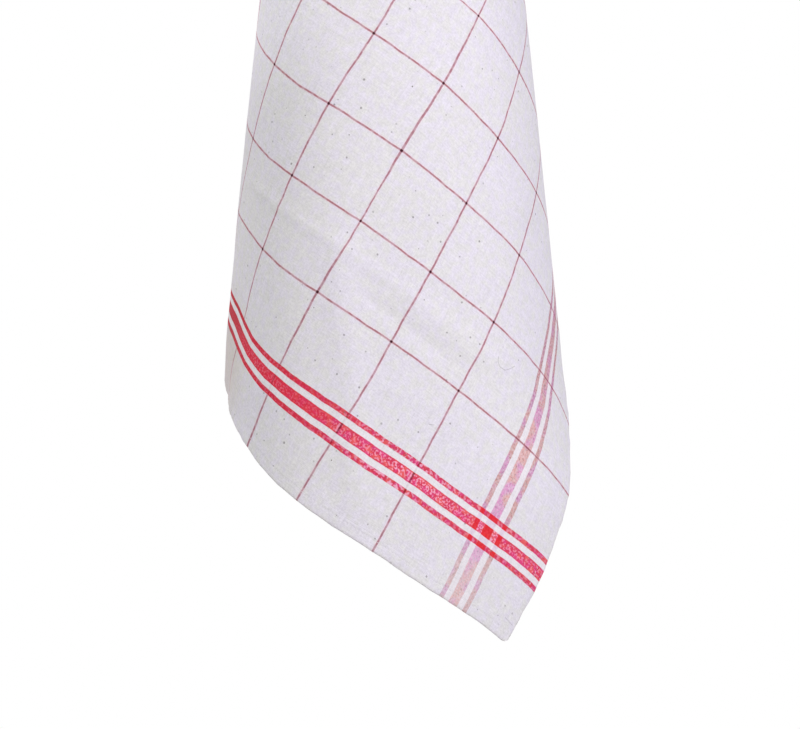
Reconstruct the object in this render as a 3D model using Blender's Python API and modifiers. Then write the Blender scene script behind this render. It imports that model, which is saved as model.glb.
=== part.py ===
"""A checked cotton tea towel that hangs from one corner.

The cloth hangs on the bias, so one corner points straight down and the other is held at the top.
Its face is a smooth cone, and its two sides wrap round behind the face. Below the held corner
the cone would run up to a point well above it, so the top of the cloth is gathered in to the corner.

X runs to the right of the face, the face looks along -Y, Z is up, and the origin is the held corner.
"""

import math

import bpy
import numpy as np

# Flat sizes of the towel
SHORT_SIDE = 0.500
LONG_SIDE = 0.750
CLOTH_THICKNESS = 0.0015
HEM_WIDTH = 0.009
HEM_STEP = 0.002
HEM_THICKNESS = 0.0024
SHORT_SIDE_CELLS = 28
LONG_SIDE_CELLS = 42

# How the cloth leans: each side's lean from the line that runs from the cone's point to the low corner
SHORT_SIDE_LEAN = math.radians(51.8)
LONG_SIDE_LEAN = math.radians(33.2)
POINT_TO_LOW_CORNER = 1.43

# How the cone is gathered in under the held corner
GATHER_START = 0.020
GATHER_FADE = 0.080
AXIS_BEHIND_FACE = 0.085

# One row for each bend across the cloth, from its left side to its right side. The columns, in
# degrees, are the angle about the cone's point, and the way the cloth heads there. A heading of 0
# runs to the right along the face, 90 comes forward, -90 goes back, and 180 or -180 runs to the left.
BENDS = (
    (-21.0, 166.0),
    (-18.0, 148.0),
    (-16.0, 118.0),
    (-14.0, 88.0),
    (-12.0, 77.0),
    (-10.0, 71.0),
    (-8.5, 53.0),
    (-6.5, 12.0),
    (-5.0, -2.0),
    (-2.0, -9.0),
    (0.0, -27.0),
    (2.0, -51.0),
    (4.5, -75.0),
    (7.0, -130.0),
    (9.0, -168.0),
    (12.5, -188.0),
    (15.0, -178.0),
    (19.5, 0.0),
    (23.0, -6.0),
    (26.0, -28.0),
    (29.0, -60.0),
)
BEND_SOFTNESS = 1.0
LEFT_OF_FACE = -15.0
RIGHT_OF_FACE = 7.0
ANGLE_STEP = 0.1

# Soft folds that spread from the held corner and fade out down the cloth, in degrees and metres
FOLD_TURN = 48.0
FOLD_PITCH = 6.5
FOLD_FADE = 0.130

CLOTH_COLOUR = (0.83, 0.82, 0.84, 1.0)
CLOTH_ROUGHNESS = 0.9


def clear_scene():
    for thing in list(bpy.data.objects):
        bpy.data.objects.remove(thing, do_unlink=True)


def lay_flat(across, along):
    """Where a point of the cloth lies under the cone's point, when the cone is opened out flat."""
    right = along * math.sin(LONG_SIDE_LEAN) - across * math.sin(SHORT_SIDE_LEAN)
    up = along * math.cos(LONG_SIDE_LEAN) + across * math.cos(SHORT_SIDE_LEAN)
    down = POINT_TO_LOW_CORNER - up
    return math.hypot(right, down), math.atan2(right, down)


def section_of_cone(fold_turn):
    """The cone's section at unit distance from its point: angles, rightward and forward places."""
    angles, headings = np.array(BENDS).T
    fine = np.arange(angles[0], angles[-1] + ANGLE_STEP, ANGLE_STEP)
    reach = int(round(BEND_SOFTNESS / ANGLE_STEP))
    blur = np.ones(2 * reach + 1) / (2 * reach + 1)
    heading = np.interp(fine, angles, headings)
    for _ in range(2):
        heading = np.convolve(np.pad(heading, reach, mode="edge"), blur, mode="valid")
    heading = np.radians(heading + fold_turn * np.sin(2.0 * math.pi * fine / FOLD_PITCH))
    step = math.radians(ANGLE_STEP)
    right = np.cumsum(np.cos(heading)) * step
    forward = np.cumsum(np.sin(heading)) * step
    face = (fine > LEFT_OF_FACE) & (fine < RIGHT_OF_FACE)
    right -= (right[face].max() + right[face].min()) / 2
    forward += AXIS_BEHIND_FACE - forward[face].max()
    return np.radians(fine), right, forward


def hang(across, along, smooth, folded):
    """The place of a point of the cloth, before the held corner is moved to the origin."""
    distance, angle = lay_flat(across, along)
    held_distance, held_angle = lay_flat(SHORT_SIDE, LONG_SIDE)
    below = max(distance - held_distance, 0.0)
    gather = 1.0 - math.exp(-(below + GATHER_START) / GATHER_FADE)
    turn = held_angle + (angle - held_angle) / gather
    folds = math.exp(-below / FOLD_FADE)
    fine = smooth[0]
    right = float(np.interp(turn, fine, (1.0 - folds) * smooth[1] + folds * folded[1]))
    forward = float(np.interp(turn, fine, (1.0 - folds) * smooth[2] + folds * folded[2]))
    x = gather * right
    y = -gather * forward
    drop = math.sqrt(1.0 - x * x - y * y)
    return np.array((x, y, -drop)) * distance


def stations(length, cells):
    """Grid places along one side: two lines for the hem's step at each end, and even cells between."""
    hem = [0.0, HEM_WIDTH, HEM_WIDTH + HEM_STEP]
    inner = np.linspace(hem[-1], length - hem[-1], cells + 1)
    return hem[:-1] + list(inner) + [length - place for place in reversed(hem[:-1])]


def towel_mesh():
    across = stations(SHORT_SIDE, SHORT_SIDE_CELLS)
    along = stations(LONG_SIDE, LONG_SIDE_CELLS)
    bpy.ops.mesh.primitive_grid_add(
        x_subdivisions=len(across) - 1, y_subdivisions=len(along) - 1, size=2.0
    )
    towel = bpy.context.object
    hem = towel.vertex_groups.new(name="hem")
    sections = section_of_cone(0.0), section_of_cone(FOLD_TURN)
    held_corner = hang(SHORT_SIDE, LONG_SIDE, *sections)
    for vertex in towel.data.vertices:
        column = round((vertex.co.x + 1.0) / 2.0 * (len(across) - 1))
        row = round((vertex.co.y + 1.0) / 2.0 * (len(along) - 1))
        edge = min(column, row, len(across) - 1 - column, len(along) - 1 - row)
        hem.add([vertex.index], 1.0 if edge < 2 else 0.0, "REPLACE")
        vertex.co = hang(across[column], along[row], *sections) - held_corner
    return towel


def give_thickness(towel):
    shell = towel.modifiers.new("thickness", "SOLIDIFY")
    shell.thickness = HEM_THICKNESS
    shell.vertex_group = "hem"
    shell.thickness_vertex_group = CLOTH_THICKNESS / HEM_THICKNESS
    shell.offset = 0.0
    shell.use_even_offset = True


def cotton():
    material = bpy.data.materials.new("off-white cotton")
    material.use_nodes = True
    shader = material.node_tree.nodes["Principled BSDF"]
    shader.inputs["Base Color"].default_value = CLOTH_COLOUR
    shader.inputs["Roughness"].default_value = CLOTH_ROUGHNESS
    shader.inputs["Metallic"].default_value = 0.0
    return material


def build():
    clear_scene()
    collection = bpy.data.collections.new("tea towel")
    bpy.context.scene.collection.children.link(collection)
    towel = towel_mesh()
    towel.name = "towel"
    for home in list(towel.users_collection):
        home.objects.unlink(towel)
    collection.objects.link(towel)
    towel.data.shade_smooth()
    towel.data.materials.append(cotton())
    give_thickness(towel)


build()
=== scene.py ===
"""The looks of a checked cotton tea towel that hangs from one corner.

The cloth is one thin closed sheet with a hem all round, and its hem stitches are a second piece.
Both are laid out on the flat towel first: "across" is metres from its right long edge, and "along" is
metres from its low short edge. The same cone as the CAD part's then hangs every flat place in the frame.
"""

import math
from collections import namedtuple

import bpy
import numpy as np
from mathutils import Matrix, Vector


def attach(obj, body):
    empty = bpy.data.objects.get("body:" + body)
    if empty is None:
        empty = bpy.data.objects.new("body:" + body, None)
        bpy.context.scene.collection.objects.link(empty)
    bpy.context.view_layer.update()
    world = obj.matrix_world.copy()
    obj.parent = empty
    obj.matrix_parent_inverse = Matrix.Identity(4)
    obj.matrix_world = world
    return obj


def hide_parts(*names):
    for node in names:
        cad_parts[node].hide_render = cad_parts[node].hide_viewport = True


# The flat towel, in metres
SHORT_SIDE = 0.500
LONG_SIDE = 0.750
CORNER_RADIUS = 0.0065

# How the cloth hangs: leans of its sides, the cone's point above the low corner, and the held gather
SHORT_SIDE_LEAN = math.radians(52.0)
LONG_SIDE_LEAN = math.radians(33.1)
POINT_TO_LOW_CORNER = 1.515
GATHER_START = 0.020
GATHER_FADE = 0.080
AXIS_BEHIND_FACE = 0.0860

# One row for each bend across the cloth, left to right: the angle about the cone's point, and the way
# the cloth heads there, both in degrees. 0 heads right along the face, 90 forward and -90 back.
BENDS = (
    (-21.0, 166.0),
    (-18.0, 148.0),
    (-16.0, 124.0),
    (-14.0, 106.0),
    (-12.0, 95.0),
    (-10.0, 70.0),
    (-8.5, 55.0),
    (-6.5, 24.0),
    (-5.0, 0.0),
    (-2.0, -13.0),
    (0.0, -27.0),
    (2.0, -57.5),
    (4.5, -71.0),
    (7.0, -128.0),
    (9.0, -168.0),
    (12.5, -188.0),
    (15.0, -178.0),
    (19.5, 0.0),
    (23.0, -6.0),
    (26.0, -28.0),
    (29.0, -60.0),
)
BEND_SOFTNESS = 1.0
LEFT_OF_FACE = -15.0
RIGHT_OF_FACE = 7.0
ANGLE_STEP = 0.1
FOLD_TURN = 48.0
FOLD_PITCH = 6.5
FOLD_FADE = 0.130

# The sheet's section, in metres: half the cloth's thickness, and the hem that is turned over behind it.
# The step from the hem to the plain cloth starts a little before the hem's width and ends past it.
CLOTH_HALF = 0.00035
HEM_WIDTH = 0.0090
HEM_BEHIND = 0.00125
HEM_IN_FRONT = 0.00048
HEM_STEP_STARTS = 0.0005
HEM_STEP_IN_FRONT = 0.0012
HEM_STEP_BEHIND = 0.0003
EDGE_ROUNDING = 0.0011
STITCH_LINE = 0.0078
STITCH_DIP = 0.00015
STITCH_DIP_REACH = 0.0006

# The grid: lines over the hem by their distance from the edge, and the cells between the hems
EDGE_LINES = (0.0, 0.0003, 0.0009, 0.0020, 0.0040, 0.0058, 0.0069, 0.0075, 0.0081, 0.0087, 0.0093, 0.0112)
CELL = 0.0037

# Soft creases, one row each, on the flat cloth: from (across, along) to (across, along), half width,
# height towards the front, all in metres. The ends fade over a short way on both sides of them.
CREASES = (
    (0.000, 0.172, 0.210, 0.1685, 0.0040, 0.0003),
    (0.190, 0.1690, 0.360, 0.1655, 0.0036, 0.0008),
    (0.262, 0.1750, 0.148, 0.0220, 0.0130, 0.0019),
    (0.215, 0.1480, 0.135, 0.1450, 0.0055, -0.0010),
    (0.192, 0.1640, 0.108, 0.1630, 0.0080, 0.0011),
    (0.175, 0.1010, 0.132, 0.1100, 0.0036, 0.0005),
)
CREASE_ENDS = 0.02

# Soft round swellings and hollows, one row each: across, along, reach, height towards the front. The
# low corner curls back, the low edge tucks in on the left, and so does the low band above it a little.
# The right edge opens to the front.
SWELLINGS = (
    (-0.030, -0.030, 0.070, -0.0150),
    (0.325, -0.005, 0.030, -0.0065),
    (0.360, 0.060, 0.050, -0.0010),
    (0.000, 0.120, 0.060, 0.0080),
)

# Where the bias-hung cloth has given, one row each: across, along, reach, and how far the places near
# there have moved across and along. The low edge bows down in its middle and is drawn up at its left.
SHIFTS = (
    (0.000, 0.000, 0.045, -0.0076, 0.0034),
    (0.090, 0.000, 0.055, -0.0040, -0.0030),
    (0.140, 0.000, 0.040, 0.0000, -0.0017),
    (0.190, 0.000, 0.055, 0.0025, -0.0045),
    (0.290, 0.000, 0.045, -0.0005, 0.0075),
    (0.000, 0.060, 0.035, -0.0082, 0.0005),
    (0.000, 0.076, 0.030, 0.0010, 0.0035),
    (0.260, 0.058, 0.050, 0.0000, -0.0013),
    (0.320, 0.060, 0.045, -0.0025, 0.0032),
    (0.340, 0.060, 0.035, -0.0070, 0.0080),
    (0.060, 0.090, 0.045, 0.0010, 0.0005),
    (0.180, 0.110, 0.050, -0.0020, 0.0015),
    (0.000, 0.130, 0.045, -0.0050, -0.0010),
    (0.124, 0.140, 0.060, 0.0010, 0.0000),
    (0.250, 0.072, 0.035, 0.0017, 0.0000),
    (0.250, 0.130, 0.060, 0.0030, -0.0010),
    (0.313, 0.180, 0.035, 0.0016, 0.0000),
    (0.345, 0.131, 0.030, 0.0000, 0.0028),
    (0.050, 0.195, 0.040, 0.0000, 0.0022),
    (0.310, 0.250, 0.060, 0.0030, -0.0005),
    (0.130, 0.280, 0.070, 0.0025, -0.0020),
    (0.200, 0.320, 0.060, 0.0010, -0.0030),
    (0.250, 0.330, 0.070, -0.0020, 0.0020),
    (0.350, 0.253, 0.050, 0.0000, -0.0018),
    (0.187, 0.370, 0.045, 0.0026, 0.0000),
)

# Uneven waves, each with its longest part's length in metres and a seed. A wave's parts are given by their
# share of that length and their size.
WAVE_PARTS = ((1.0, 0.5), (0.618, 0.3), (0.382, 0.2))
SEED_PHASE = 2.4
PART_PHASE = 1.7
SLACK = 0.0005
SLACK_LEANS = (0.6, -0.3)
SLACK_WAVES = ((0.110, 1.0), (0.170, 2.0))
PUCKER = 0.00035
PUCKER_REACH = 0.009
PUCKER_WAVES = ((0.021, 3.0), (0.023, 4.0))
SWAY = 0.0006
QUICK_SHARE = 0.4
SWAY_ACROSS = ((0.190, 5.0), (0.031, 6.0))
SWAY_ALONG = ((0.160, 7.0), (0.027, 8.0))

# The pattern on the flat cloth. Each band is a wide stripe between two narrow ones, given as its middle's
# distance from the edge, the wide stripe's half width, and the narrow ones' distance and half width.
# Cross threads run across the towel and show strongly. Long threads run along it and show palely.
BandSizes = namedtuple("BandSizes", "middle wide_half narrow_away narrow_half")
CROSS_BAND = BandSizes(0.0582, 0.0041, 0.01065, 0.00195)
LONG_BAND = BandSizes(0.0540, 0.0038, 0.0104, 0.00185)

# Thin lines repeat from the first one's distance from the edge, at an even pitch
CROSS_LINES = (0.131, 0.061)
LONG_LINES = (0.124, 0.063)
LINE_HALF = 0.0007
YARN_PITCH = 0.00055

CAMERA_PLACE = (-0.0031, -2.595, -0.7252)
SENSOR_WIDTH = 36.0
LENS = 151.9


# --- where the cloth hangs ---------------------------------------------------------------------------


def lay_flat(across, along):
    """Where a place of the cloth lies under the cone's point, when the cone is opened out flat."""
    right = along * math.sin(LONG_SIDE_LEAN) - across * math.sin(SHORT_SIDE_LEAN)
    up = along * math.cos(LONG_SIDE_LEAN) + across * math.cos(SHORT_SIDE_LEAN)
    down = POINT_TO_LOW_CORNER - up
    return np.hypot(right, down), np.arctan2(right, down)


def section_of_cone(fold_turn):
    """The cone's section at unit distance from its point: angles, rightward and forward places."""
    angles, headings = np.array(BENDS).T
    fine = np.arange(angles[0], angles[-1] + ANGLE_STEP, ANGLE_STEP)
    reach = int(round(BEND_SOFTNESS / ANGLE_STEP))
    blur = np.ones(2 * reach + 1) / (2 * reach + 1)
    heading = np.interp(fine, angles, headings)
    for _ in range(2):
        heading = np.convolve(np.pad(heading, reach, mode="edge"), blur, mode="valid")
    heading = np.radians(heading + fold_turn * np.sin(2.0 * math.pi * fine / FOLD_PITCH))
    step = math.radians(ANGLE_STEP)
    right = np.cumsum(np.cos(heading)) * step
    forward = np.cumsum(np.sin(heading)) * step
    face = (fine > LEFT_OF_FACE) & (fine < RIGHT_OF_FACE)
    right -= (right[face].max() + right[face].min()) / 2
    forward += AXIS_BEHIND_FACE - forward[face].max()
    return np.radians(fine), right, forward


SMOOTH = section_of_cone(0.0)
FOLDED = section_of_cone(FOLD_TURN)


def hang(across, along):
    """The middle of the cloth at flat places, before the held corner is moved to the origin."""
    distance, angle = lay_flat(across, along)
    held_distance, held_angle = lay_flat(SHORT_SIDE, LONG_SIDE)
    below = np.maximum(distance - held_distance, 0.0)
    gather = 1.0 - np.exp(-(below + GATHER_START) / GATHER_FADE)
    turn = held_angle + (angle - held_angle) / gather
    folds = np.exp(-below / FOLD_FADE)
    right, forward = (
        (1.0 - folds) * np.interp(turn, SMOOTH[0], SMOOTH[part])
        + folds * np.interp(turn, FOLDED[0], FOLDED[part])
        for part in (1, 2)
    )
    x = gather * right
    y = -gather * forward
    drop = np.sqrt(1.0 - x * x - y * y)
    return np.stack((x, y, -drop), axis=-1) * distance[..., None]


HELD_CORNER = hang(np.array([SHORT_SIDE]), np.array([LONG_SIDE]))[0]


def step_up(value, low, high):
    """0 below low, 1 above high, and a smooth step between."""
    t = np.clip((value - low) / (high - low), 0.0, 1.0)
    return t * t * (3.0 - 2.0 * t)


def to_edge(across, along):
    """Distance to the nearest edge of the flat towel."""
    across_edge = np.minimum(across, SHORT_SIDE - across)
    along_edge = np.minimum(along, LONG_SIDE - along)
    return np.maximum(np.minimum(across_edge, along_edge), 0.0)


def waves(place, longest, seed):
    """A smooth uneven wave along a line, between about -1 and 1."""
    total = np.zeros_like(place)
    for number, (share, size) in enumerate(WAVE_PARTS):
        phase = seed * SEED_PHASE + number * PART_PHASE
        total = total + size * np.sin(2.0 * math.pi * place / (longest * share) + phase)
    return total


def crease(across, along, row):
    """The height of one soft ridge or trough along a straight flat line."""
    from_across, from_along, to_across, to_along, half_width, rise = row
    run = np.array((to_across - from_across, to_along - from_along))
    length = math.hypot(*run)
    run = run / length
    forth = (across - from_across) * run[0] + (along - from_along) * run[1]
    aside = (along - from_along) * run[0] - (across - from_across) * run[1]
    start = step_up(forth, -CREASE_ENDS, CREASE_ENDS)
    end = step_up(length - forth, -CREASE_ENDS, CREASE_ENDS)
    return rise * start * end * np.exp(-((aside / half_width) ** 2))


def pucker(across, along):
    """The height of the small waves that the stitching draws up along the nearest edge."""
    by_end = np.minimum(along, LONG_SIDE - along) < np.minimum(across, SHORT_SIDE - across)
    wave = np.where(by_end, waves(across, *PUCKER_WAVES[0]), waves(along, *PUCKER_WAVES[1]))
    return PUCKER * np.exp(-to_edge(across, along) / PUCKER_REACH) * wave


def relief(across, along):
    """How far the cloth stands towards the front of the plain cone: slack, creases and hem puckers."""
    height = SLACK * waves(across + SLACK_LEANS[0] * along, *SLACK_WAVES[0])
    height = height * waves(along + SLACK_LEANS[1] * across, *SLACK_WAVES[1])
    for row in CREASES:
        height = height + crease(across, along, row)
    for at_across, at_along, reach, rise in SWELLINGS:
        away = np.hypot(across - at_across, along - at_along)
        height = height + rise * np.exp(-((away / reach) ** 2))
    return height + pucker(across, along)


def unevenness(place, slow, quick):
    """A slow and a quick wave along a line, which keep the threads from looking ruled."""
    return SWAY * (waves(place, *slow) + QUICK_SHARE * waves(place, *quick))


def sway(across, along):
    """Moves flat places a little within the cloth: it gives where it hangs, and no edge is ruled."""
    moved_across = across + unevenness(along, *SWAY_ACROSS)
    moved_along = along + unevenness(across, *SWAY_ALONG)
    for at_across, at_along, reach, by_across, by_along in SHIFTS:
        near = np.exp(-(((across - at_across) ** 2 + (along - at_along) ** 2) / reach**2))
        moved_across = moved_across + by_across * near
        moved_along = moved_along + by_along * near
    return moved_across, moved_along


def front_of_cloth(across, along):
    """Unit directions that point out of the towel's front."""
    reach = 0.0006
    by_across = hang(across + reach, along) - hang(across - reach, along)
    by_along = hang(across, along + reach) - hang(across, along - reach)
    out = np.cross(by_along, by_across)
    return out / np.linalg.norm(out, axis=-1, keepdims=True)


def thickness(across, along, side):
    """How far the front (side 1) or back (side -1) lies from the middle of the cloth."""
    distance = to_edge(across, along)
    full = HEM_IN_FRONT if side > 0 else HEM_BEHIND
    step = HEM_STEP_IN_FRONT if side > 0 else HEM_STEP_BEHIND
    hem = 1.0 - step_up(distance, HEM_WIDTH - HEM_STEP_STARTS, HEM_WIDTH + step)
    out = CLOTH_HALF + (full - CLOTH_HALF) * hem
    out = out - STITCH_DIP * np.exp(-(((distance - STITCH_LINE) / STITCH_DIP_REACH) ** 2))
    inward = 1.0 - np.minimum(distance / EDGE_ROUNDING, 1.0)
    round_edge = np.sqrt(np.clip(1.0 - inward**2, 0.0, 1.0))
    middle_of_edge = side * (HEM_IN_FRONT - HEM_BEHIND) / 2
    return side * (middle_of_edge * (1.0 - round_edge) + out * round_edge)


def place(across, along, side):
    """Where a flat place of the towel's front or back is in the frame."""
    moved_across, moved_along = sway(across, along)
    out = front_of_cloth(moved_across, moved_along)
    height = relief(across, along) + thickness(across, along, side)
    return hang(moved_across, moved_along) - HELD_CORNER + out * height[..., None]


def round_corners(across, along):
    """Bends the flat grid's square corners to arcs."""
    from_across = np.minimum(across, SHORT_SIDE - across)
    from_along = np.minimum(along, LONG_SIDE - along)
    p = np.clip(1.0 - from_across / CORNER_RADIUS, 0.0, 1.0)
    q = np.clip(1.0 - from_along / CORNER_RADIUS, 0.0, 1.0)
    in_across = CORNER_RADIUS * p * (1.0 - np.sqrt(1.0 - q * q / 2.0))
    in_along = CORNER_RADIUS * q * (1.0 - np.sqrt(1.0 - p * p / 2.0))
    across = across + np.where(across < SHORT_SIDE / 2, in_across, -in_across)
    along = along + np.where(along < LONG_SIDE / 2, in_along, -in_along)
    return across, along


# --- the cloth ---------------------------------------------------------------------------------------


def stations(length):
    """Grid places along one side: close lines over the hem at each end, and even cells between."""
    inner_length = length - 2.0 * EDGE_LINES[-1]
    inner = np.linspace(EDGE_LINES[-1], length - EDGE_LINES[-1], round(inner_length / CELL) + 1)
    near = np.array(EDGE_LINES[:-1])
    return np.concatenate((near, inner, length - near[::-1]))


def mesh_piece(name, corners, faces, material):
    """An object from lists of corners and faces."""
    mesh = bpy.data.meshes.new(name)
    mesh.from_pydata(corners, [], faces)
    mesh.materials.append(material)
    mesh.shade_smooth()
    piece = bpy.data.objects.new(name, mesh)
    bpy.context.scene.collection.objects.link(piece)
    return piece


def add_map(mesh, name, places, corner_of):
    """A UV map from one place for each corner of each face."""
    layer = mesh.uv_layers.new(name=name)
    layer.data.foreach_set("uv", places[corner_of].astype(np.float32).ravel())


def faces_of(grid):
    """The grid's cells, as the numbers of their four corners."""
    quads = (grid[:-1, :-1], grid[1:, :-1], grid[1:, 1:], grid[:-1, 1:])
    return np.stack([corner.ravel() for corner in quads], axis=-1)


# The front and the back each have half of the bake map: the size of each panel, and the margin round it
PANEL_SIZE = (0.48, 0.98)
PANEL_MARGIN = 0.01


def make_cloth(material):
    """The towel as one closed sheet: a front grid and a back grid that share their outer ring."""
    across, along = np.meshgrid(stations(SHORT_SIDE), stations(LONG_SIDE), indexing="ij")
    across, along = round_corners(across, along)
    count = across.size
    index = np.arange(count).reshape(across.shape)
    ring = np.zeros(across.shape, bool)
    ring[[0, -1], :] = True
    ring[:, [0, -1]] = True
    front_corners = place(across, along, 1).reshape(-1, 3)
    back_corners = place(across, along, -1).reshape(-1, 3)
    corners = np.concatenate((front_corners, back_corners))

    front = faces_of(index)[:, ::-1]
    back = faces_of(np.where(ring, index, index + count))
    back_place = faces_of(index)
    faces = np.concatenate((front, back))
    used = np.unique(faces)
    renumber = np.zeros(2 * count, int)
    renumber[used] = np.arange(len(used))
    cloth = mesh_piece("towel_cloth", corners[used].tolist(), renumber[faces].tolist(), material)

    flat = np.stack((across.ravel(), along.ravel()), axis=-1)
    share = flat / (SHORT_SIDE, LONG_SIDE)
    # the back's panel mirrors the front's
    front_panel = share * PANEL_SIZE + PANEL_MARGIN
    back_panel = front_panel * (-1.0, 1.0) + (1.0, 0.0)
    panels = np.concatenate((front_panel, back_panel))
    panel_of = np.concatenate((front, back_place + count)).ravel()
    add_map(cloth.data, "OFBake", panels, panel_of)
    add_map(cloth.data, "flat", flat, np.concatenate((front, back_place)).ravel())
    return cloth


# --- stitches ----------------------------------------------------------------------------------------

STITCH_PITCH = 0.0030
STITCH_LENGTH = 0.0023
THREAD_RADIUS = 0.00016
STITCH_RINGS = 5
STITCH_SIDES = 6
EDGE_MARGIN = 0.001

# How a stitch arches, in thread radii: its rise in the middle, how deep its ends lie, and their thickness
ARCH_RISE = 1.1
END_DEPTH = 0.55
END_THICKNESS = 0.55


def stitch_places():
    """Flat places and flat directions of the stitches, on a line just inside all four edges."""
    inset = STITCH_LINE
    corner_places = (
        (inset, inset),
        (SHORT_SIDE - inset, inset),
        (SHORT_SIDE - inset, LONG_SIDE - inset),
        (inset, LONG_SIDE - inset),
    )
    places = []
    directions = []
    for number, start in enumerate(corner_places):
        end = corner_places[(number + 1) % 4]
        length = math.dist(start, end)
        way = np.subtract(end, start) / length
        count = round(length / STITCH_PITCH)
        for stitch in range(count):
            middle = (stitch + 0.5) * length / count
            places.append(np.array(start) + way * middle)
            directions.append(way)
    return np.array(places), np.array(directions)


def stitch_corners(line, side):
    """The rings of corners of one stitch, which follows a short flat line on the front or back."""
    across = np.clip(line[:, 0], EDGE_MARGIN, SHORT_SIDE - EDGE_MARGIN)
    along = np.clip(line[:, 1], EDGE_MARGIN, LONG_SIDE - EDGE_MARGIN)
    middle = place(across, along, side)
    out = side * front_of_cloth(across, along)
    forth = np.gradient(middle, axis=0)
    forth = forth / np.linalg.norm(forth, axis=1, keepdims=True)
    aside = np.cross(forth, out)
    rise = 1.0 - np.linspace(-1.0, 1.0, STITCH_RINGS) ** 2
    lift = THREAD_RADIUS * (ARCH_RISE * rise - END_DEPTH)
    middle = middle + out * lift[:, None]
    radius = THREAD_RADIUS * (END_THICKNESS + (1.0 - END_THICKNESS) * rise)
    turn = np.linspace(0.0, 2.0 * math.pi, STITCH_SIDES, endpoint=False)[:, None]
    ring = np.cos(turn) * aside[:, None] + np.sin(turn) * out[:, None]
    return (middle[:, None] + radius[:, None, None] * ring).reshape(-1, 3)


def stitch_faces(start):
    """The faces of one stitch: quads between its rings, and a cap at each end."""
    faces = []
    for ring in range(STITCH_RINGS - 1):
        for turn in range(STITCH_SIDES):
            here = start + ring * STITCH_SIDES + turn
            beside = start + ring * STITCH_SIDES + (turn + 1) % STITCH_SIDES
            faces.append((here, beside, beside + STITCH_SIDES, here + STITCH_SIDES))
    first_ring = range(start, start + STITCH_SIDES)
    last_start = start + (STITCH_RINGS - 1) * STITCH_SIDES
    last_ring = range(last_start, last_start + STITCH_SIDES)
    return faces + [tuple(reversed(first_ring)), tuple(last_ring)]


def make_stitches(material):
    """Small arched lengths of thread on both sides of the hem, as one mesh."""
    places, directions = stitch_places()
    stretch = np.linspace(-STITCH_LENGTH / 2, STITCH_LENGTH / 2, STITCH_RINGS)
    corners = []
    faces = []
    for side, shift in ((1, 0.0), (-1, STITCH_PITCH / 2)):
        for spot, way in zip(places + directions * shift, directions):
            faces.extend(stitch_faces(len(corners)))
            corners.extend(stitch_corners(spot + np.outer(stretch, way), side).tolist())
    return mesh_piece("towel_stitches", corners, faces, material)


# --- shader recipes ----------------------------------------------------------------------------------


class Recipe:
    """Short names for the shader nodes that the materials use."""

    def __init__(self, name):
        self.material = bpy.data.materials.new(name)
        self.material.use_nodes = True
        self.tree = self.material.node_tree
        self.shader = self.tree.nodes["Principled BSDF"]

    def node(self, kind, **settings):
        made = self.tree.nodes.new(kind)
        for key, value in settings.items():
            setattr(made, key, value)
        return made

    def feed(self, socket, value):
        if isinstance(value, bpy.types.NodeSocket):
            self.tree.links.new(value, socket)
        else:
            socket.default_value = value

    def math(self, operation, *values, clamp=False):
        made = self.node("ShaderNodeMath", operation=operation, use_clamp=clamp)
        for socket, value in zip(made.inputs, values):
            self.feed(socket, value)
        return made.outputs[0]

    def times(self, first, *others):
        """The product of two or more values."""
        for value in others:
            first = self.math("MULTIPLY", first, value)
        return first

    def larger(self, first, second):
        return self.math("MAXIMUM", first, second)

    def less(self, value, taken):
        """The value less what is taken from it, and never below 0."""
        return self.math("SUBTRACT", value, taken, clamp=True)

    def dimmed(self, where, by=1.0):
        """1 where the share is 0, and 1 less by where the share is 1."""
        return self.math("MULTIPLY_ADD", where, -by, 1.0)

    def remap(self, value, low, high, new_low=0.0, new_high=1.0):
        """A smooth ramp from new_low, where the value is low, to new_high."""
        made = self.node("ShaderNodeMapRange", interpolation_type="SMOOTHSTEP")
        for key, what in zip(range(5), (value, low, high, new_low, new_high)):
            self.feed(made.inputs[key], what)
        return made.outputs[0]

    def mix(self, share, first, second):
        """The first colour where share is 0 and the second where it is 1."""
        made = self.node("ShaderNodeMix", data_type="RGBA")
        self.feed(made.inputs[0], share)
        self.feed(made.inputs[6], first)
        self.feed(made.inputs[7], second)
        return made.outputs[2]

    def mix_number(self, share, first, second):
        """The first number where share is 0 and the second where it is 1."""
        made = self.node("ShaderNodeMix", data_type="FLOAT")
        for socket, value in zip(made.inputs[:1] + made.inputs[2:4], (share, first, second)):
            self.feed(socket, value)
        return made.outputs[0]

    def shade(self, colour, factor):
        """The colour times a number."""
        made = self.node("ShaderNodeVectorMath", operation="SCALE")
        self.feed(made.inputs[0], colour)
        self.feed(made.inputs[3], factor)
        return made.outputs[0]

    def vector_math(self, operation, first, second):
        made = self.node("ShaderNodeVectorMath", operation=operation)
        self.feed(made.inputs[0], first)
        self.feed(made.inputs[1], second)
        return made.outputs[1 if operation in ("DOT_PRODUCT", "DISTANCE") else 0]

    def split(self, vector):
        """The first two parts of a vector or colour."""
        made = self.node("ShaderNodeSeparateXYZ")
        self.feed(made.inputs[0], vector)
        return made.outputs[0], made.outputs[1]


# The pattern's shapes on the cloth, in metres: the soft rims of stripes and lines, how far they wander in
# all, and how far inside the wide red stripe its core begins
STRIPE_RIM = 0.00025
LINE_RIM = 0.0003
SLOW_WANDER = 0.0010
QUICK_WANDER = 0.0003
CORE_INSET = 0.0010

# A grain is a noise: cells a metre across and along the towel, a shift that sets it apart from the other
# ones, and its detail and roughness where they are not 1 and 0.5
CROSS_WANDER_GRAINS = ((14.0, 14.0, 3.0), (420.0, 420.0, 5.0))
LONG_WANDER_GRAINS = ((14.0, 14.0, 9.0), (420.0, 420.0, 7.0))

# A band's parts as shares of colour: its wide stripe, its narrow stripes, all three, and the gaps between
Band = namedtuple("Band", "wide narrow stripes gap")


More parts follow.
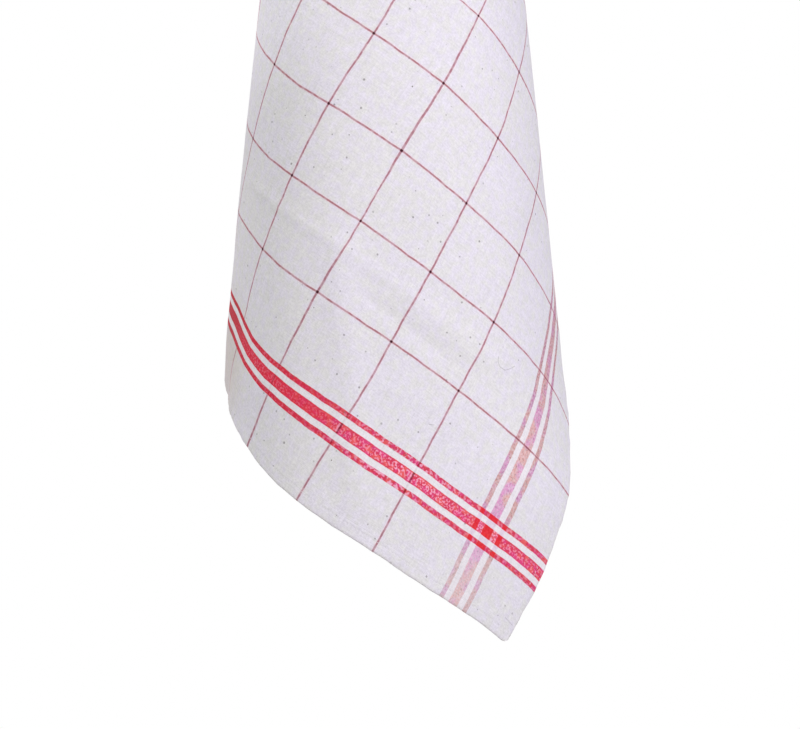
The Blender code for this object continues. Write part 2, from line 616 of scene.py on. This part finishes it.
class Cotton(Recipe):
    """The recipe of the towel's cloth, with flat places, noise and the shapes of its pattern."""

    def __init__(self):
        super().__init__("checked cotton")
        self.flat = self.node("ShaderNodeUVMap", uv_map="flat").outputs[0]
        self.across, self.along = self.split(self.flat)
        self.from_side = self.from_edge(self.across, SHORT_SIDE)
        self.from_end = self.from_edge(self.along, LONG_SIDE)
        self.cross_place = self.wander(self.from_end, *CROSS_WANDER_GRAINS)
        self.long_place = self.wander(self.from_side, *LONG_WANDER_GRAINS)
        self.cross = self.band(self.cross_place, CROSS_BAND)
        self.long = self.band(self.long_place, LONG_BAND)
        self.core = self.stripe(self.cross_place, CROSS_BAND.middle, CROSS_BAND.wide_half - CORE_INSET)

    def from_edge(self, value, length):
        return self.math("MINIMUM", value, self.math("SUBTRACT", length, value))

    def scaled(self, by_across, by_along, shift):
        """Flat places in cells of a noise."""
        made = self.node("ShaderNodeCombineXYZ")
        self.feed(made.inputs[0], self.math("MULTIPLY_ADD", self.across, by_across, shift))
        self.feed(made.inputs[1], self.math("MULTIPLY", self.along, by_along))
        return made.outputs[0]

    def grain(self, by_across, by_along, shift, detail=1.0, rough=0.5):
        made = self.node("ShaderNodeTexNoise", noise_dimensions="2D")
        self.feed(made.inputs["Vector"], self.scaled(by_across, by_along, shift))
        self.feed(made.inputs["Scale"], 1.0)
        self.feed(made.inputs["Detail"], detail)
        self.feed(made.inputs["Roughness"], rough)
        return made.outputs[0]

    def wander(self, value, slow_grain, quick_grain):
        """The value with a slow and a quick unevenness."""
        slow = self.math("MULTIPLY_ADD", self.grain(*slow_grain), SLOW_WANDER, -SLOW_WANDER / 2)
        quick = self.math("MULTIPLY_ADD", self.grain(*quick_grain), QUICK_WANDER, -QUICK_WANDER / 2)
        return self.math("ADD", value, self.math("ADD", slow, quick))

    def vary(self, level, grain, contrast, mean=0.5):
        """The level, raised and lowered by a noise of that mean."""
        return self.times(level, self.math("MULTIPLY_ADD", grain, contrast, 1.0 - contrast * mean))

    def stripe(self, value, middle, half):
        off = self.math("ABSOLUTE", self.math("SUBTRACT", value, middle))
        return self.remap(off, half + STRIPE_RIM, half - STRIPE_RIM)

    def band(self, value, sizes):
        wide = self.stripe(value, sizes.middle, sizes.wide_half)
        outer = self.stripe(value, sizes.middle - sizes.narrow_away, sizes.narrow_half)
        inner = self.stripe(value, sizes.middle + sizes.narrow_away, sizes.narrow_half)
        narrow = self.larger(outer, inner)
        stripes = self.larger(wide, narrow)
        zone = self.stripe(value, sizes.middle, sizes.narrow_away)
        return Band(wide, narrow, stripes, self.less(zone, stripes))

    def lines(self, value, first, pitch, half=LINE_HALF):
        steps = self.math("DIVIDE", self.math("SUBTRACT", value, first), pitch)
        whole = self.math("MAXIMUM", self.math("ROUND", steps), 0.0)
        off = self.times(self.math("ABSOLUTE", self.math("SUBTRACT", steps, whole)), pitch)
        return self.remap(off, half + LINE_RIM, half - LINE_RIM)

    def spot(self, across, along, rim, core, least=0.0, most=1.0):
        """A round spot: most within its core, and least beyond its rim."""
        away = self.vector_math("DISTANCE", self.flat, (across, along, 0.0))
        return self.remap(away, rim, core, least, most)


# --- the cotton's colours ----------------------------------------------------------------------------

WARM_WHITE = (0.719, 0.718, 0.718, 1.0)
COOL_WHITE = (0.727, 0.710, 0.776, 1.0)
SHADE_BEIGE = (0.500, 0.415, 0.320, 1.0)
BRIGHT_WHITE = (0.775, 0.750, 0.775, 1.0)
CRIMSON = (0.680, 0.045, 0.100, 1.0)
CORAL = (0.780, 0.110, 0.120, 1.0)
ROSE = (0.720, 0.060, 0.200, 1.0)
PALE_ROSE = (0.900, 0.440, 0.600, 1.0)
PLAIN_RED = (0.720, 0.026, 0.055, 1.0)
SHADED_RED = (0.420, 0.012, 0.022, 1.0)
DEEP_RED = (0.717, 0.018, 0.026, 1.0)
MAUVE = (0.680, 0.320, 0.540, 1.0)
PEACH = (0.690, 0.390, 0.370, 1.0)
LILAC = (0.700, 0.575, 0.690, 1.0)
BRICK = (0.362, 0.103, 0.124, 1.0)
PLUM = (0.345, 0.118, 0.154, 1.0)
WINE = (0.200, 0.030, 0.050, 1.0)
DUSKY_ROSE = (0.430, 0.170, 0.228, 1.0)
DARK_WINE = (0.060, 0.012, 0.020, 1.0)
TICK_RED = (0.300, 0.007, 0.012, 1.0)
MAROON = (0.160, 0.004, 0.012, 1.0)
GREY = (0.160, 0.150, 0.150, 1.0)
HUSK = (0.085, 0.072, 0.068, 1.0)
THREAD_GREY = (0.660, 0.650, 0.670, 1.0)
THREAD_WHITE = (0.760, 0.745, 0.770, 1.0)
FLOOR_PAINT = (0.780, 0.780, 0.775, 1.0)

# A ramp says where it starts and ends, and the shares there where they are not 0 and 1. Some are ramps of
# a grain, and others are ramps of a place in metres. A contrast says how much a grain changes the level.

# The woven ground
LONG_YARN_GRAIN = (1700.0, 26.0, 2.0, 2.0)
CROSS_YARN_GRAIN = (26.0, 1700.0, 4.0, 2.0)
PATCH_GRAIN = (16.0, 16.0, 1.0, 3.0)
MOTTLE_GRAIN = (600.0, 600.0, 6.0, 2.0, 0.6)
CLOUD_GRAIN = (190.0, 190.0, 25.0, 2.0, 0.6)
TINGE_GRAIN = (150.0, 150.0, 8.0)
TINGE_RAMP = (0.36, 0.64)
PATCH_SHARE = 0.35
YARN_CONTRAST = 0.14
MOTTLE_CONTRAST = 0.28
CLOUD_CONTRAST = 0.16
GAP_SHARE = 0.85

# Soft spots of the ground: across, along, rim, core, and the least and most of each. One is painted shade,
# beige where the low edge is tucked in, and one is painted light, which makes the cloth paler high on the
# left.
TUCK_SHADE_SPOT = (0.335, 0.025, 0.070, 0.012, 0.0, 0.38)
PAINTED_LIGHT_SPOT = (0.450, 0.300, 0.140, 0.020, 1.0, 1.20)


def yarn_grains(make):
    """The yarns of both directions, and the mottle over them: they show in the colour and in the bumps."""
    yarns = make.math("ADD", make.grain(*LONG_YARN_GRAIN), make.grain(*CROSS_YARN_GRAIN))
    return yarns, make.grain(*MOTTLE_GRAIN)


def ground_level(make, yarns, mottle):
    """How light the cloth is from place to place, whatever its colour, with painted light high on the left.
    """
    level = make.vary(1.0, yarns, YARN_CONTRAST, mean=1.0)
    level = make.vary(level, mottle, MOTTLE_CONTRAST)
    level = make.vary(level, make.grain(*CLOUD_GRAIN), CLOUD_CONTRAST)
    # painted light: the cloth is made lighter in a soft spot high on the left
    return make.times(level, make.spot(*PAINTED_LIGHT_SPOT))


def ground_colour(make):
    """White with a warm and a cool tinge, a painted beige shade where the low edge tucks in, and whiter
    between stripes.
    """
    tinge = make.mix_number(PATCH_SHARE, make.grain(*TINGE_GRAIN), make.grain(*PATCH_GRAIN))
    ground = make.mix(make.remap(tinge, *TINGE_RAMP), WARM_WHITE, COOL_WHITE)
    # painted shade: beige where the low edge tucks in
    ground = make.mix(make.spot(*TUCK_SHADE_SPOT), ground, SHADE_BEIGE)
    gaps = make.larger(make.cross.gap, make.long.gap)
    return make.mix(make.times(gaps, GAP_SHARE), ground, BRIGHT_WHITE)


# The pale stripes: their two hues, how much darker the narrow ones are, dark specks and thin places
LONG_HUE_GRAIN = (75.0, 60.0, 11.0)
LONG_HUE_RAMP = (0.40, 0.60)
LONG_NARROW_DIM = 0.14
DUSKY_RAMP = (0.12, 0.23, 0.0, 0.50)
DARK_SPECK_GRAIN = (650.0, 500.0, 29.0)
DARK_SPECK_RAMP = (0.54, 0.70, 1.0, 0.72)
LONG_THIN_GRAIN = (650.0, 500.0, 12.0, 2.0)
LONG_THIN_RAMP = (0.36, 0.62, 0.66, 1.0)
LONG_END_RAMP = (0.02, 0.07, 0.74, 1.0)
LILAC_SHARE = 0.75


def add_long_stripes(make, colour):
    """The pale stripes that run along the towel: mauve and peach by turns, and duskier from the ends."""
    stain = make.mix(make.remap(make.grain(*LONG_HUE_GRAIN), *LONG_HUE_RAMP), MAUVE, PEACH)
    stain = make.shade(stain, make.dimmed(make.long.narrow, LONG_NARROW_DIM))
    stain = make.mix(make.remap(make.cross_place, *DUSKY_RAMP), stain, DUSKY_ROSE)
    stain = make.shade(stain, make.remap(make.grain(*DARK_SPECK_GRAIN), *DARK_SPECK_RAMP))
    share = make.remap(make.grain(*LONG_THIN_GRAIN), *LONG_THIN_RAMP)
    share = make.times(share, make.remap(make.cross_place, *LONG_END_RAMP))
    share = make.times(share, make.dimmed(make.cross.gap))
    colour = make.mix(make.times(make.long.stripes, share), colour, stain)
    in_gap = make.times(make.cross.gap, make.long.stripes, LILAC_SHARE)
    return make.mix(in_gap, colour, LILAC)


# The red stripes: their hues, which give way to one plain red towards the left side
CROSS_HUE_GRAIN = (170.0, 170.0, 17.0, 2.0)
CORAL_RAMP = (0.52, 0.64)
ROSE_RAMP = (0.48, 0.38)
PLAIN_RAMP = (0.14, 0.26, 0.0, 0.9)
CROSS_NARROW_DIM = 0.07
DEEP_SHARE = 0.9

# Pale specks: fine ones in the wide stripe's core and soft ones in the narrow stripes, more or less
# crowded by patches and by how far across the towel they are
FINE_SPECK_GRAIN = (600.0, 600.0, 13.0)
FINE_SPECK_RAMP = (0.48, 0.62)
FINE_SPECK_SHARE = 0.95
SOFT_SPECK_GRAIN = (400.0, 400.0, 27.0)
SOFT_SPECK_RAMP = (0.46, 0.66)
SOFT_SPECK_SHARE = 0.85
CROWD_GRAIN = (40.0, 40.0, 19.0)
CROWD_RAMP = (0.35, 0.60, 0.60, 1.0)
RIGHT_CROWD_RAMP = (0.07, 0.12, 0.50, 1.0)
LEFT_CROWD_RAMP = (0.21, 0.15, 0.24, 1.0)
CELL_SPECK_RAMP = (0.0, 1.0, 0.10, 0.80)

# Painted shade: where the low band turns away round the left side, its red is painted darker
TURN_START_RAMP = (0.275, 0.345)
TURN_END_RAMP = (0.43, 0.38)
TURN_LOW_RAMP = (0.30, 0.20, 0.0, 0.65)


def speck_share(make):
    """How much of the red the pale specks hide."""
    fine = make.remap(make.grain(*FINE_SPECK_GRAIN), *FINE_SPECK_RAMP)
    soft = make.remap(make.grain(*SOFT_SPECK_GRAIN), *SOFT_SPECK_RAMP)
    crowd = make.remap(make.grain(*CROWD_GRAIN), *CROWD_RAMP)
    crowd = make.times(crowd, make.remap(make.across, *RIGHT_CROWD_RAMP))
    crowd = make.times(crowd, make.remap(make.across, *LEFT_CROWD_RAMP))
    in_core = make.times(fine, make.core, FINE_SPECK_SHARE)
    in_narrow = make.times(soft, make.cross.narrow, SOFT_SPECK_SHARE)
    in_stripes = make.times(make.math("ADD", in_core, in_narrow), crowd)
    in_cells = make.times(make.cross.wide, make.long.gap, make.remap(fine, *CELL_SPECK_RAMP))
    return make.larger(in_stripes, in_cells)


def add_cross_stripes(make, colour):
    """The red stripes that run across the towel, over the pale ones."""
    hue = make.grain(*CROSS_HUE_GRAIN)
    red = make.mix(make.remap(hue, *CORAL_RAMP), CRIMSON, CORAL)
    red = make.mix(make.remap(hue, *ROSE_RAMP), red, ROSE)
    red = make.mix(make.remap(make.across, *PLAIN_RAMP), red, PLAIN_RED)
    red = make.mix(speck_share(make), red, PALE_ROSE)
    red = make.shade(red, make.dimmed(make.cross.narrow, CROSS_NARROW_DIM))
    # painted shade on the red where the low band turns away round the left side
    painted_turn_shade = make.times(
        make.remap(make.across, *TURN_START_RAMP),
        make.remap(make.across, *TURN_END_RAMP),
        make.remap(make.along, *TURN_LOW_RAMP),
    )
    red = make.mix(painted_turn_shade, red, SHADED_RED)
    colour = make.mix(make.cross.stripes, colour, red)
    both = make.times(make.cross.stripes, make.long.stripes, DEEP_SHARE)
    return make.mix(both, colour, DEEP_RED)


# The thin lines: their fuzz and the dots where they cross are wider than they are. Uneven dashes thin
# them, they are sunk between the red stripes, and ticks of them show on the stripes.
FUZZ_HALF = LINE_HALF * 2.0
FUZZ_SHARE = 0.17
DOT_HALF = LINE_HALF * 1.3
CROSS_DASH_GRAIN = (170.0, 40.0, 14.0)
CROSS_DASH_RAMP = (0.35, 0.60, 0.62, 0.86)
LONG_DASH_GRAIN = (40.0, 170.0, 15.0)
LONG_DASH_RAMP = (0.35, 0.60, 0.64, 0.88)
SUNK_MARGIN = 0.0002
SUNK_SHARE = 0.85
TICK_RAMP = (0.26, 0.20, 0.35, 1.0)
WINE_SHARE = 0.8
GLINT_AWAY = 0.0014
GLINT_RAMP = (0.26, 0.18, 0.0, 0.55)


def add_glints(make, colour):
    """A pale glint beside each long line where it crosses the wide red stripe."""
    beside = make.lines(make.math("SUBTRACT", make.long_place, GLINT_AWAY), *LONG_LINES)
    share = make.times(beside, make.core, make.remap(make.across, *GLINT_RAMP))
    return make.mix(share, colour, PALE_ROSE)


def add_fuzz(make, colour, sunk):
    """A faint pink fuzz of fibres on both sides of each thin line."""
    along_long = make.less(make.lines(make.long_place, *LONG_LINES, half=FUZZ_HALF), sunk)
    fuzz = make.larger(along_long, make.lines(make.cross_place, *CROSS_LINES, half=FUZZ_HALF))
    share = make.times(fuzz, make.dimmed(make.cross.stripes), FUZZ_SHARE)
    return make.mix(share, colour, PALE_ROSE)


def add_thin_lines(make, colour):
    """The check's thin lines, which sink between the white threads beside the red stripes."""
    band_reach = CROSS_BAND.narrow_away + CROSS_BAND.narrow_half + SUNK_MARGIN
    near_band = make.stripe(make.cross_place, CROSS_BAND.middle, band_reach)
    sunk = make.less(near_band, make.cross.stripes)
    colour = add_glints(make, colour)
    colour = add_fuzz(make, colour, sunk)

    dash = make.remap(make.grain(*LONG_DASH_GRAIN), *LONG_DASH_RAMP)
    dash = make.times(dash, make.dimmed(sunk, SUNK_SHARE))
    tick_share = make.remap(make.across, *TICK_RAMP)
    dash = make.times(dash, make.mix_number(make.cross.stripes, 1.0, tick_share))
    stain = make.mix(make.cross.narrow, PLUM, TICK_RED)
    stain = make.mix(make.cross.wide, stain, MAROON)
    colour = make.mix(make.times(make.lines(make.long_place, *LONG_LINES), dash), colour, stain)

    dash = make.remap(make.grain(*CROSS_DASH_GRAIN), *CROSS_DASH_RAMP)
    stain = make.mix(make.times(make.long.stripes, WINE_SHARE), BRICK, WINE)
    colour = make.mix(make.times(make.lines(make.cross_place, *CROSS_LINES), dash), colour, stain)

    cross_dot = make.lines(make.cross_place, *CROSS_LINES, half=DOT_HALF)
    long_dot = make.lines(make.long_place, *LONG_LINES, half=DOT_HALF)
    return make.mix(make.times(cross_dot, long_dot), colour, DARK_WINE)


# The flecks that show best, one row each: across, along, radius in metres
FLECKS = (
    (0.2685, 0.2975, 0.00075),
    (0.1800, 0.0375, 0.00060),
    (0.3485, 0.1690, 0.00055),
    (0.2060, 0.3700, 0.00050),
    (0.1405, 0.3125, 0.00045),
    (0.2880, 0.2415, 0.00060),
    (0.1570, 0.0085, 0.00045),
    (0.1805, 0.3020, 0.00045),
    (0.1390, 0.1940, 0.00045),
    (0.2465, 0.1200, 0.00050),
    (0.3255, 0.2360, 0.00055),
    (0.2360, 0.0930, 0.00050),
    (0.2030, 0.2010, 0.00045),
    (0.0900, 0.1825, 0.00050),
    (0.0190, 0.0130, 0.00045),
)
FLECK_CORE = 0.5
FLECK_SHARE = 0.85

# Faint flecks: one at most in each cell of a random pattern, and the higher the power, the fewer show
FAINT_FLECK_CELLS = (110.0, 110.0, 2.0)
FAINT_FLECK_POWER = 4.0
FAINT_FLECK_SIZE = 0.130
FAINT_FLECK_RIM = 0.075
FAINT_FLECK_RAMP = (0.0, 1.0, 0.25, 0.70)


def add_faint_flecks(make, colour):
    cells = make.node("ShaderNodeTexVoronoi", voronoi_dimensions="2D", feature="F1")
    make.feed(cells.inputs["Vector"], make.scaled(*FAINT_FLECK_CELLS))
    make.feed(cells.inputs["Scale"], 1.0)
    chance, strength = make.split(cells.outputs["Color"])
    size = make.times(make.math("POWER", chance, FAINT_FLECK_POWER), FAINT_FLECK_SIZE)
    inside = make.math("SUBTRACT", size, cells.outputs["Distance"])
    share = make.times(make.remap(inside, 0.0, FAINT_FLECK_RIM), make.remap(strength, *FAINT_FLECK_RAMP))
    return make.mix(share, colour, GREY)


def add_strong_flecks(make, colour):
    share = 0.0
    for across, along, radius in FLECKS:
        share = make.larger(share, make.spot(across, along, radius, radius * FLECK_CORE))
    return make.mix(make.times(share, FLECK_SHARE), colour, HUSK)


# Loose fibres that lie on the cloth, one row for each straight part: from (across, along) to
# (across, along)
FIBRES = (
    (0.1085, 0.1725, 0.1070, 0.1690),
    (0.1070, 0.1690, 0.1040, 0.1668),
    (0.1040, 0.1668, 0.0985, 0.1675),
    (0.0985, 0.1675, 0.0945, 0.1720),
    (0.0945, 0.1720, 0.0915, 0.1765),
    (0.1320, 0.0968, 0.1285, 0.0985),
    (0.0130, 0.0153, 0.0040, 0.0145),
)
FIBRE_HALF = 0.00022
FIBRE_RIM = FIBRE_HALF * 1.6
FIBRE_CORE = FIBRE_HALF * 0.4
FIBRE_SHARE = 0.40


def add_fibres(make, colour):
    share = 0.0
    for from_across, from_along, to_across, to_along in FIBRES:
        run = (to_across - from_across, to_along - from_along, 0.0)
        squared = run[0] ** 2 + run[1] ** 2
        offset = make.vector_math("SUBTRACT", make.flat, (from_across, from_along, 0.0))
        forth = make.vector_math("DOT_PRODUCT", offset, run)
        part = make.math("MULTIPLY", forth, 1.0 / squared, clamp=True)
        off = make.vector_math("DISTANCE", offset, make.shade(run, part))
        share = make.larger(share, make.remap(off, FIBRE_RIM, FIBRE_CORE))
    return make.mix(make.times(share, FIBRE_SHARE), colour, GREY)


# The weave's bumps: how far the yarns wander, and how high the weave, the yarns and the mottle stand
YARN_WANDER = 0.0010
WARP_GRAIN = (300.0, 300.0, 31.0)
WEFT_GRAIN = (300.0, 300.0, 37.0)
WEAVE_HEIGHT = 0.7
YARN_HEIGHT = 1.2
MOTTLE_HEIGHT = 1.6
BUMP_STRENGTH = 0.30
BUMP_DEPTH = 0.00025


def yarn_wave(make, value, grain):
    """Rises over one yarn and sinks under the next."""
    wander = make.times(make.grain(*grain), YARN_WANDER)
    return make.math("SINE", make.times(make.math("ADD", value, wander), math.pi / YARN_PITCH))


def add_weave(make, yarns, mottle):
    """The weave stands up in small uneven bumps, one for each crossing of two yarns."""
    warp = yarn_wave(make, make.across, WARP_GRAIN)
    weft = yarn_wave(make, make.along, WEFT_GRAIN)
    weave = make.math("MULTIPLY_ADD", make.times(warp, weft), 0.5, 0.5)
    height = make.math("MULTIPLY_ADD", weave, WEAVE_HEIGHT, make.times(yarns, YARN_HEIGHT))
    height = make.math("ADD", height, make.times(mottle, MOTTLE_HEIGHT))
    bump = make.node("ShaderNodeBump")
    make.feed(bump.inputs["Strength"], BUMP_STRENGTH)
    make.feed(bump.inputs["Distance"], BUMP_DEPTH)
    make.feed(bump.inputs["Height"], height)
    make.feed(make.shader.inputs["Normal"], bump.outputs[0])


# Painted shade: a little beige at the very edge, as the shade of the rounded hem, by the distance from it
EDGE_SHADE_RAMP = (0.0026, 0.0006, 0.0, 0.10)


def cotton_material():
    make = Cotton()
    yarns, mottle = yarn_grains(make)
    colour = ground_colour(make)
    colour = add_long_stripes(make, colour)
    colour = add_cross_stripes(make, colour)
    colour = add_thin_lines(make, colour)
    colour = add_faint_flecks(make, colour)
    colour = add_strong_flecks(make, colour)
    colour = add_fibres(make, colour)
    # painted shade along the rounded edge
    edge = make.math("MINIMUM", make.from_side, make.from_end)
    colour = make.mix(make.remap(edge, *EDGE_SHADE_RAMP), colour, SHADE_BEIGE)
    colour = make.shade(colour, ground_level(make, yarns, mottle))
    make.feed(make.shader.inputs["Base Color"], colour)
    make.shader.inputs["Roughness"].default_value = 0.9
    make.shader.inputs["Specular IOR Level"].default_value = 0.25
    add_weave(make, yarns, mottle)
    return make.material


# Cells a metre of the noise that shows the thread's twist
THREAD_TWIST = 900.0


def thread_material():
    make = Recipe("white sewing thread")
    twist = make.node("ShaderNodeTexNoise")
    make.feed(twist.inputs["Vector"], make.node("ShaderNodeTexCoord").outputs["Object"])
    make.feed(twist.inputs["Scale"], THREAD_TWIST)
    make.feed(make.shader.inputs["Base Color"], make.mix(twist.outputs[0], THREAD_GREY, THREAD_WHITE))
    make.shader.inputs["Roughness"].default_value = 0.7
    return make.material


# --- the studio --------------------------------------------------------------------------------------


# Sizes and places in metres. One row for each lamp: name, degrees to the right of the camera's side,
# degrees up, watts, colour
LAMPS = (
    ("key", 15.0, 50.0, 43.6, (1.00, 0.91, 0.98)),
    ("upper left", -40.0, 50.0, 12.4, (0.84, 0.97, 0.83)),
    ("right", 70.0, 15.0, 19.2, (0.91, 0.92, 1.00)),
    ("rim", -130.0, 15.0, 30.7, (1.00, 0.92, 0.97)),
    ("back", 160.0, 35.0, 18.0, (1.00, 0.97, 0.97)),
)
LAMP_SIZE = 1.3
LAMP_AWAY = 2.6
LAMPS_AIM = Vector((0.0, 0.0, -0.7))
FLOOR_HEIGHT = -1.25
FLOOR_RADIUS = 2.2
FLOOR_FADES_FROM = 1.0
FLOOR_SIDES = 96

# The white round the object: how strongly it lights it, and how white the camera sees it
STUDIO_LIGHT = 0.30
STUDIO_WHITE = 1.0


def add_lamp(name, right_turn, up_turn, power, colour):
    lamp = bpy.data.lights.new(name, "AREA")
    lamp.shape = "DISK"
    lamp.size = LAMP_SIZE
    lamp.energy = power
    lamp.color = colour
    turn = math.radians(right_turn)
    lift = math.radians(up_turn)
    way = Vector((math.sin(turn) * math.cos(lift), -math.cos(turn) * math.cos(lift), math.sin(lift)))
    fitting = bpy.data.objects.new(name, lamp)
    fitting.location = LAMPS_AIM + way * LAMP_AWAY
    fitting.rotation_euler = (-way).to_track_quat("-Z", "Y").to_euler()
    fitting.visible_camera = False
    bpy.context.scene.collection.objects.link(fitting)


def floor_material():
    """Plain pale paint that fades out to the white of the studio round its rim."""
    make = Recipe("pale floor")
    spot = make.node("ShaderNodeTexCoord").outputs["Object"]
    away = make.vector_math("DISTANCE", spot, (0.0, 0.0, 0.0))
    make.feed(make.shader.inputs["Alpha"], make.remap(away, FLOOR_RADIUS, FLOOR_FADES_FROM))
    make.shader.inputs["Base Color"].default_value = FLOOR_PAINT
    make.shader.inputs["Roughness"].default_value = 0.9
    make.shader.inputs["Specular IOR Level"].default_value = 0.1
    return make.material


def add_floor():
    turns = np.linspace(0.0, 2.0 * math.pi, FLOOR_SIDES, endpoint=False)
    rim = np.stack((np.cos(turns), np.sin(turns), 0.0 * turns), axis=-1) * FLOOR_RADIUS
    floor = mesh_piece("floor", rim.tolist(), [list(range(FLOOR_SIDES))], floor_material())
    floor.location = (0.0, 0.0, FLOOR_HEIGHT)


def white_world():
    """A world that the camera sees as white, and that lights the towel more softly."""
    world = bpy.data.worlds.new("white studio")
    bpy.context.scene.world = world
    world.use_nodes = True
    tree = world.node_tree
    sky = tree.nodes["Background"]
    sky.inputs["Color"].default_value = (1.0, 1.0, 1.0, 1.0)
    ray = tree.nodes.new("ShaderNodeLightPath")
    level = tree.nodes.new("ShaderNodeMapRange")
    level.inputs["To Min"].default_value = STUDIO_LIGHT
    level.inputs["To Max"].default_value = STUDIO_WHITE
    tree.links.new(ray.outputs["Is Camera Ray"], level.inputs["Value"])
    tree.links.new(level.outputs[0], sky.inputs["Strength"])


def add_camera():
    camera = bpy.data.cameras.new("photograph")
    camera.sensor_fit = "HORIZONTAL"
    camera.sensor_width = SENSOR_WIDTH
    camera.lens = LENS
    viewer = bpy.data.objects.new("photograph", camera)
    viewer.location = CAMERA_PLACE
    viewer.rotation_euler = (math.radians(90.0), 0.0, 0.0)
    bpy.context.scene.collection.objects.link(viewer)
    bpy.context.scene.camera = viewer


def studio():
    white_world()
    for lamp in LAMPS:
        add_lamp(*lamp)
    add_floor()
    add_camera()
    bpy.context.scene.view_settings.view_transform = "Standard"


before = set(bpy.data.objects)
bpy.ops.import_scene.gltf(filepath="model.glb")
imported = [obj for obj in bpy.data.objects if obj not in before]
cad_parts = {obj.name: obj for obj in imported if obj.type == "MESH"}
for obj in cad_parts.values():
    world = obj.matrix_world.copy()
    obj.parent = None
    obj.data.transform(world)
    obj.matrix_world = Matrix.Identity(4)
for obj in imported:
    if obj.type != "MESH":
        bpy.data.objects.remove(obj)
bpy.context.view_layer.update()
cloth = make_cloth(cotton_material())
stitches = make_stitches(thread_material())
for piece in (cloth, stitches):
    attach(piece, "root")
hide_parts("towel")
studio()
